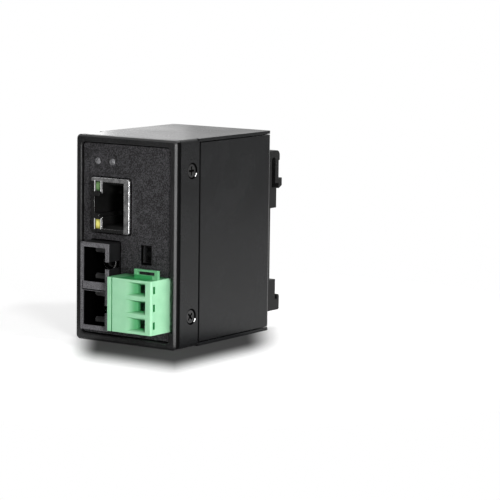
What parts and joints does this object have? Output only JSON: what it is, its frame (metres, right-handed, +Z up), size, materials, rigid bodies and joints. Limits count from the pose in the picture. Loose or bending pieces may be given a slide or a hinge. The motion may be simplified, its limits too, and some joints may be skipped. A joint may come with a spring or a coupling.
{
  "type": "fibre media converter",
  "caption": "Compact rail-mount converter between a twisted-pair jack and a duplex fibre port, with a pluggable power terminal, sliding switches and a rear rail clip.",
  "frame": {"origin": "centre of the case's base, midway between its front face and its back wall", "axes": "+X to the right seen from the front, +Y from the front face to the rail clip, +Z up"},
  "size_m": [0.036, 0.066, 0.06],
  "materials": {
    "frame_black": "fine matt black paint on a casting",
    "panel_black": "fine textured black film",
    "case_black": "satin black powder coat on sheet steel",
    "screw_black": "black oxide",
    "zinc_steel": "zinc plated",
    "clip_black": "moulded, fine texture",
    "shield_steel": "tinned, satin",
    "insert_black": "moulded",
    "gold_contact": "gold flash",
    "lamp_yellow": "clear tinted lens",
    "lamp_green": "clear tinted lens",
    "port_black": "moulded, low gloss",
    "latch_grey": "moulded",
    "barrel_metal": "nickel plated",
    "sleeve_ceramic": "polished ceramic",
    "tinned_pin": "tinned",
    "lever_dark": "moulded",
    "board_green": "solder mask on glass laminate",
    "plug_green": "moulded, low gloss",
    "header_green": "moulded, low gloss",
    "post_nylon": "natural nylon, moulded",
    "lens_clear": "diffused lens, unlit",
    "chip_black": "moulded",
    "can_aluminium": "drawn can",
    "core_grey": "ferrite compound"
  },
  "bodies": {
    "case": {"front_bezel": "frame_black", "front_panel": "panel_black", "chassis": "case_black", "rear_cover": "case_black", "case_screws": "screw_black", "clip_screws": "screw_black", "clip_nuts": "zinc_steel", "din_clip": "clip_black", "rj45_shield": "shield_steel", "rj45_housing": "insert_black", "rj45_contacts": "gold_contact", "rj45_led_yellow": "lamp_yellow", "rj45_led_green": "lamp_green", "sc_housing": "port_black", "sc_latch_lower": "latch_grey", "sc_latch_upper": "latch_grey", "sc_barrels": "barrel_metal", "sc_sleeves": "sleeve_ceramic", "sc_pins": "tinned_pin", "dip_body": "insert_black", "dip_pins": "tinned_pin", "switch_board": "board_green", "main_board": "board_green", "power_board": "board_green", "terminal_header": "header_green", "header_pins": "tinned_pin", "board_posts": "post_nylon", "board_spacers": "post_nylon", "led_holder": "insert_black", "status_led_link": "lens_clear", "status_led_power": "lens_clear", "lan_transformer": "insert_black", "media_chip": "chip_black", "crystal": "shield_steel", "capacitors": "can_aluminium", "bulk_capacitor": "can_aluminium", "power_inductor": "core_grey", "power_regulator": "chip_black", "surge_diode": "chip_black", "link_socket": "insert_black", "link_header": "insert_black", "link_pins": "gold_contact"},
    "plug": {"terminal_plug": "plug_green", "plug_contacts": "tinned_pin"},
    "clamp_screw_1": {"clamp_screw_1": "zinc_steel"},
    "clamp_cage_1": {"clamp_cage_1": "zinc_steel"},
    "clamp_screw_2": {"clamp_screw_2": "zinc_steel"},
    "clamp_cage_2": {"clamp_cage_2": "zinc_steel"},
    "clamp_screw_3": {"clamp_screw_3": "zinc_steel"},
    "clamp_cage_3": {"clamp_cage_3": "zinc_steel"},
    "dip_lever_1": {"dip_lever_1": "lever_dark"},
    "dip_lever_2": {"dip_lever_2": "lever_dark"}
  },
  "joints": [
    {"name": "plug_pull", "type": "slide", "parent": "case", "child": "plug", "axis": [0, -1, 0], "range_m": [0, 0.012]},
    {"name": "clamp_turn_1", "type": "hinge", "parent": "plug", "child": "clamp_screw_1", "pos_m": [-0.0005, -0.02665, 0.00777], "axis": [1, 0, 0], "range_deg": [0, 2160]},
    {"name": "clamp_rise_1", "type": "slide", "parent": "plug", "child": "clamp_cage_1", "axis": [-1, 0, 0], "range_m": [0, 0.003]},
    {"name": "clamp_turn_2", "type": "hinge", "parent": "plug", "child": "clamp_screw_2", "pos_m": [-0.0005, -0.02665, 0.01285], "axis": [1, 0, 0], "range_deg": [0, 2160]},
    {"name": "clamp_rise_2", "type": "slide", "parent": "plug", "child": "clamp_cage_2", "axis": [-1, 0, 0], "range_m": [0, 0.003]},
    {"name": "clamp_turn_3", "type": "hinge", "parent": "plug", "child": "clamp_screw_3", "pos_m": [-0.0005, -0.02665, 0.01793], "axis": [1, 0, 0], "range_deg": [0, 2160]},
    {"name": "clamp_rise_3", "type": "slide", "parent": "plug", "child": "clamp_cage_3", "axis": [-1, 0, 0], "range_m": [0, 0.003]},
    {"name": "dip_slide_1", "type": "slide", "parent": "case", "child": "dip_lever_1", "axis": [1, 0, 0], "range_m": [0, 0.0012]},
    {"name": "dip_slide_2", "type": "slide", "parent": "case", "child": "dip_lever_2", "axis": [1, 0, 0], "range_m": [0, 0.0012]}
  ],
  "couplings": [
    {"joint": "clamp_turn_1", "follows": "clamp_rise_1", "rad_per_m": 12566},
    {"joint": "clamp_turn_2", "follows": "clamp_rise_2", "rad_per_m": 12566},
    {"joint": "clamp_turn_3", "follows": "clamp_rise_3", "rad_per_m": 12566}
  ]
}
